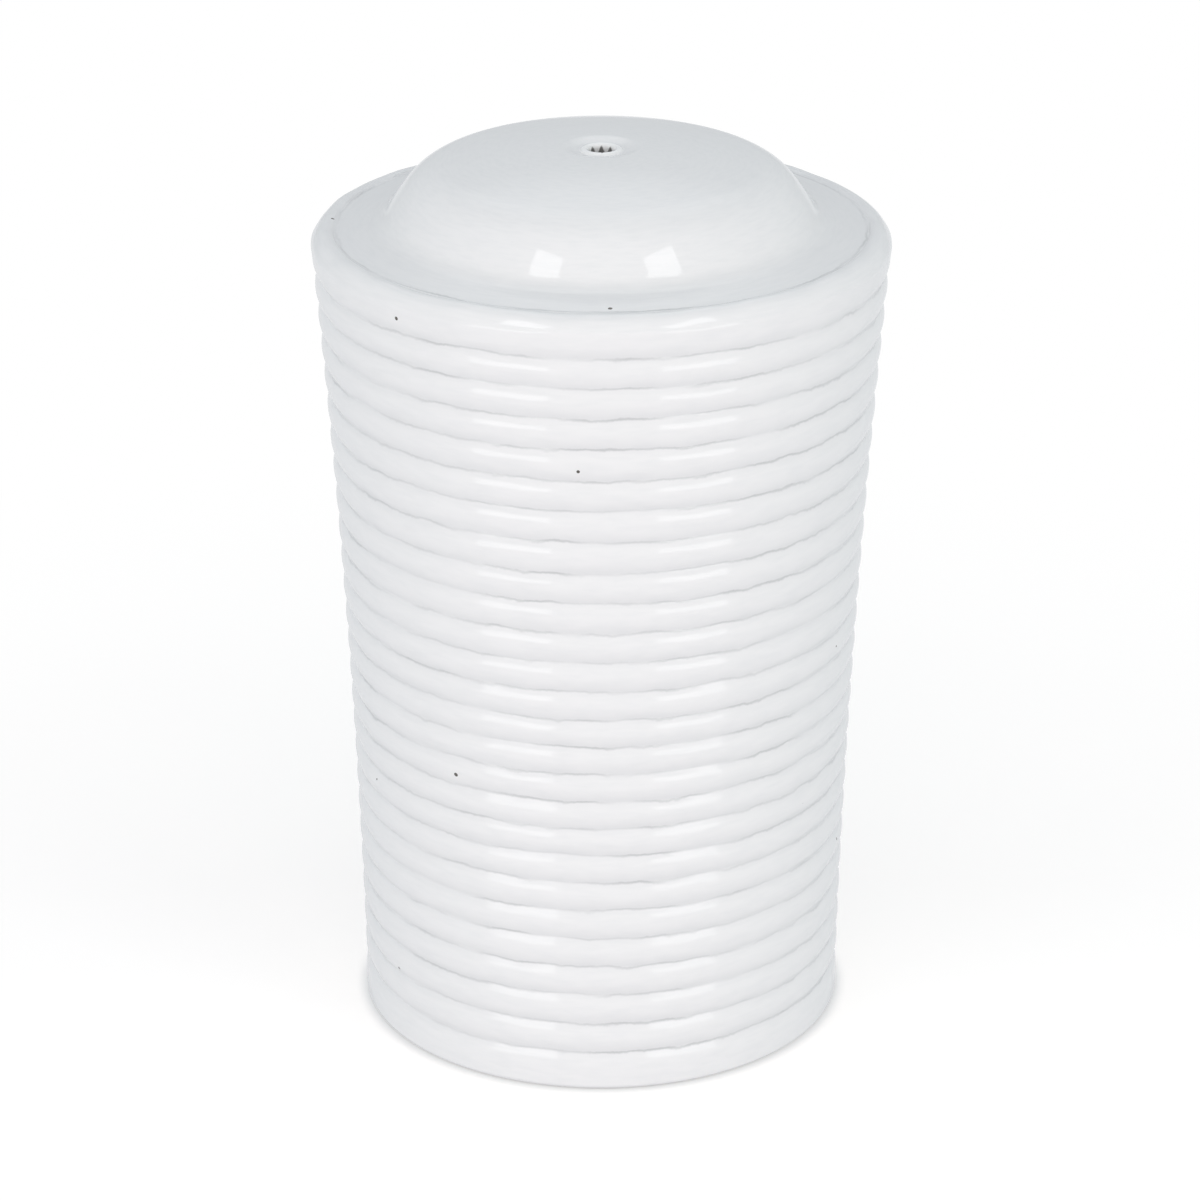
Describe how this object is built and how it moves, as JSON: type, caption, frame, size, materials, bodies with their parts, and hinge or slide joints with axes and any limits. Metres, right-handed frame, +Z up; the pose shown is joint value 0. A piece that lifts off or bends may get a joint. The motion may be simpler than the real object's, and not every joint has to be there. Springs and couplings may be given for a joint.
{
  "type": "pepper shaker",
  "caption": "Tapered, ribbed white porcelain pepper shaker with a domed top, a central sprinkle hole and a soft pull-out stopper in its base.",
  "frame": {"origin": "middle of the foot ring, on the table", "axes": "+Z up along the shaker's axis; the stopper's grip bar runs along Y"},
  "size_m": [0.0498, 0.0498, 0.0793],
  "materials": {
    "porcelain": "gloss",
    "stopper": "satin"
  },
  "bodies": {
    "shaker": {"porcelain_body": "porcelain"},
    "stopper": {"base_stopper": "stopper"}
  },
  "joints": [
    {"name": "stopper_pull", "type": "slide", "parent": "shaker", "child": "stopper", "axis": [0, 0, -1], "range_m": [0, 0.03]}
  ]
}
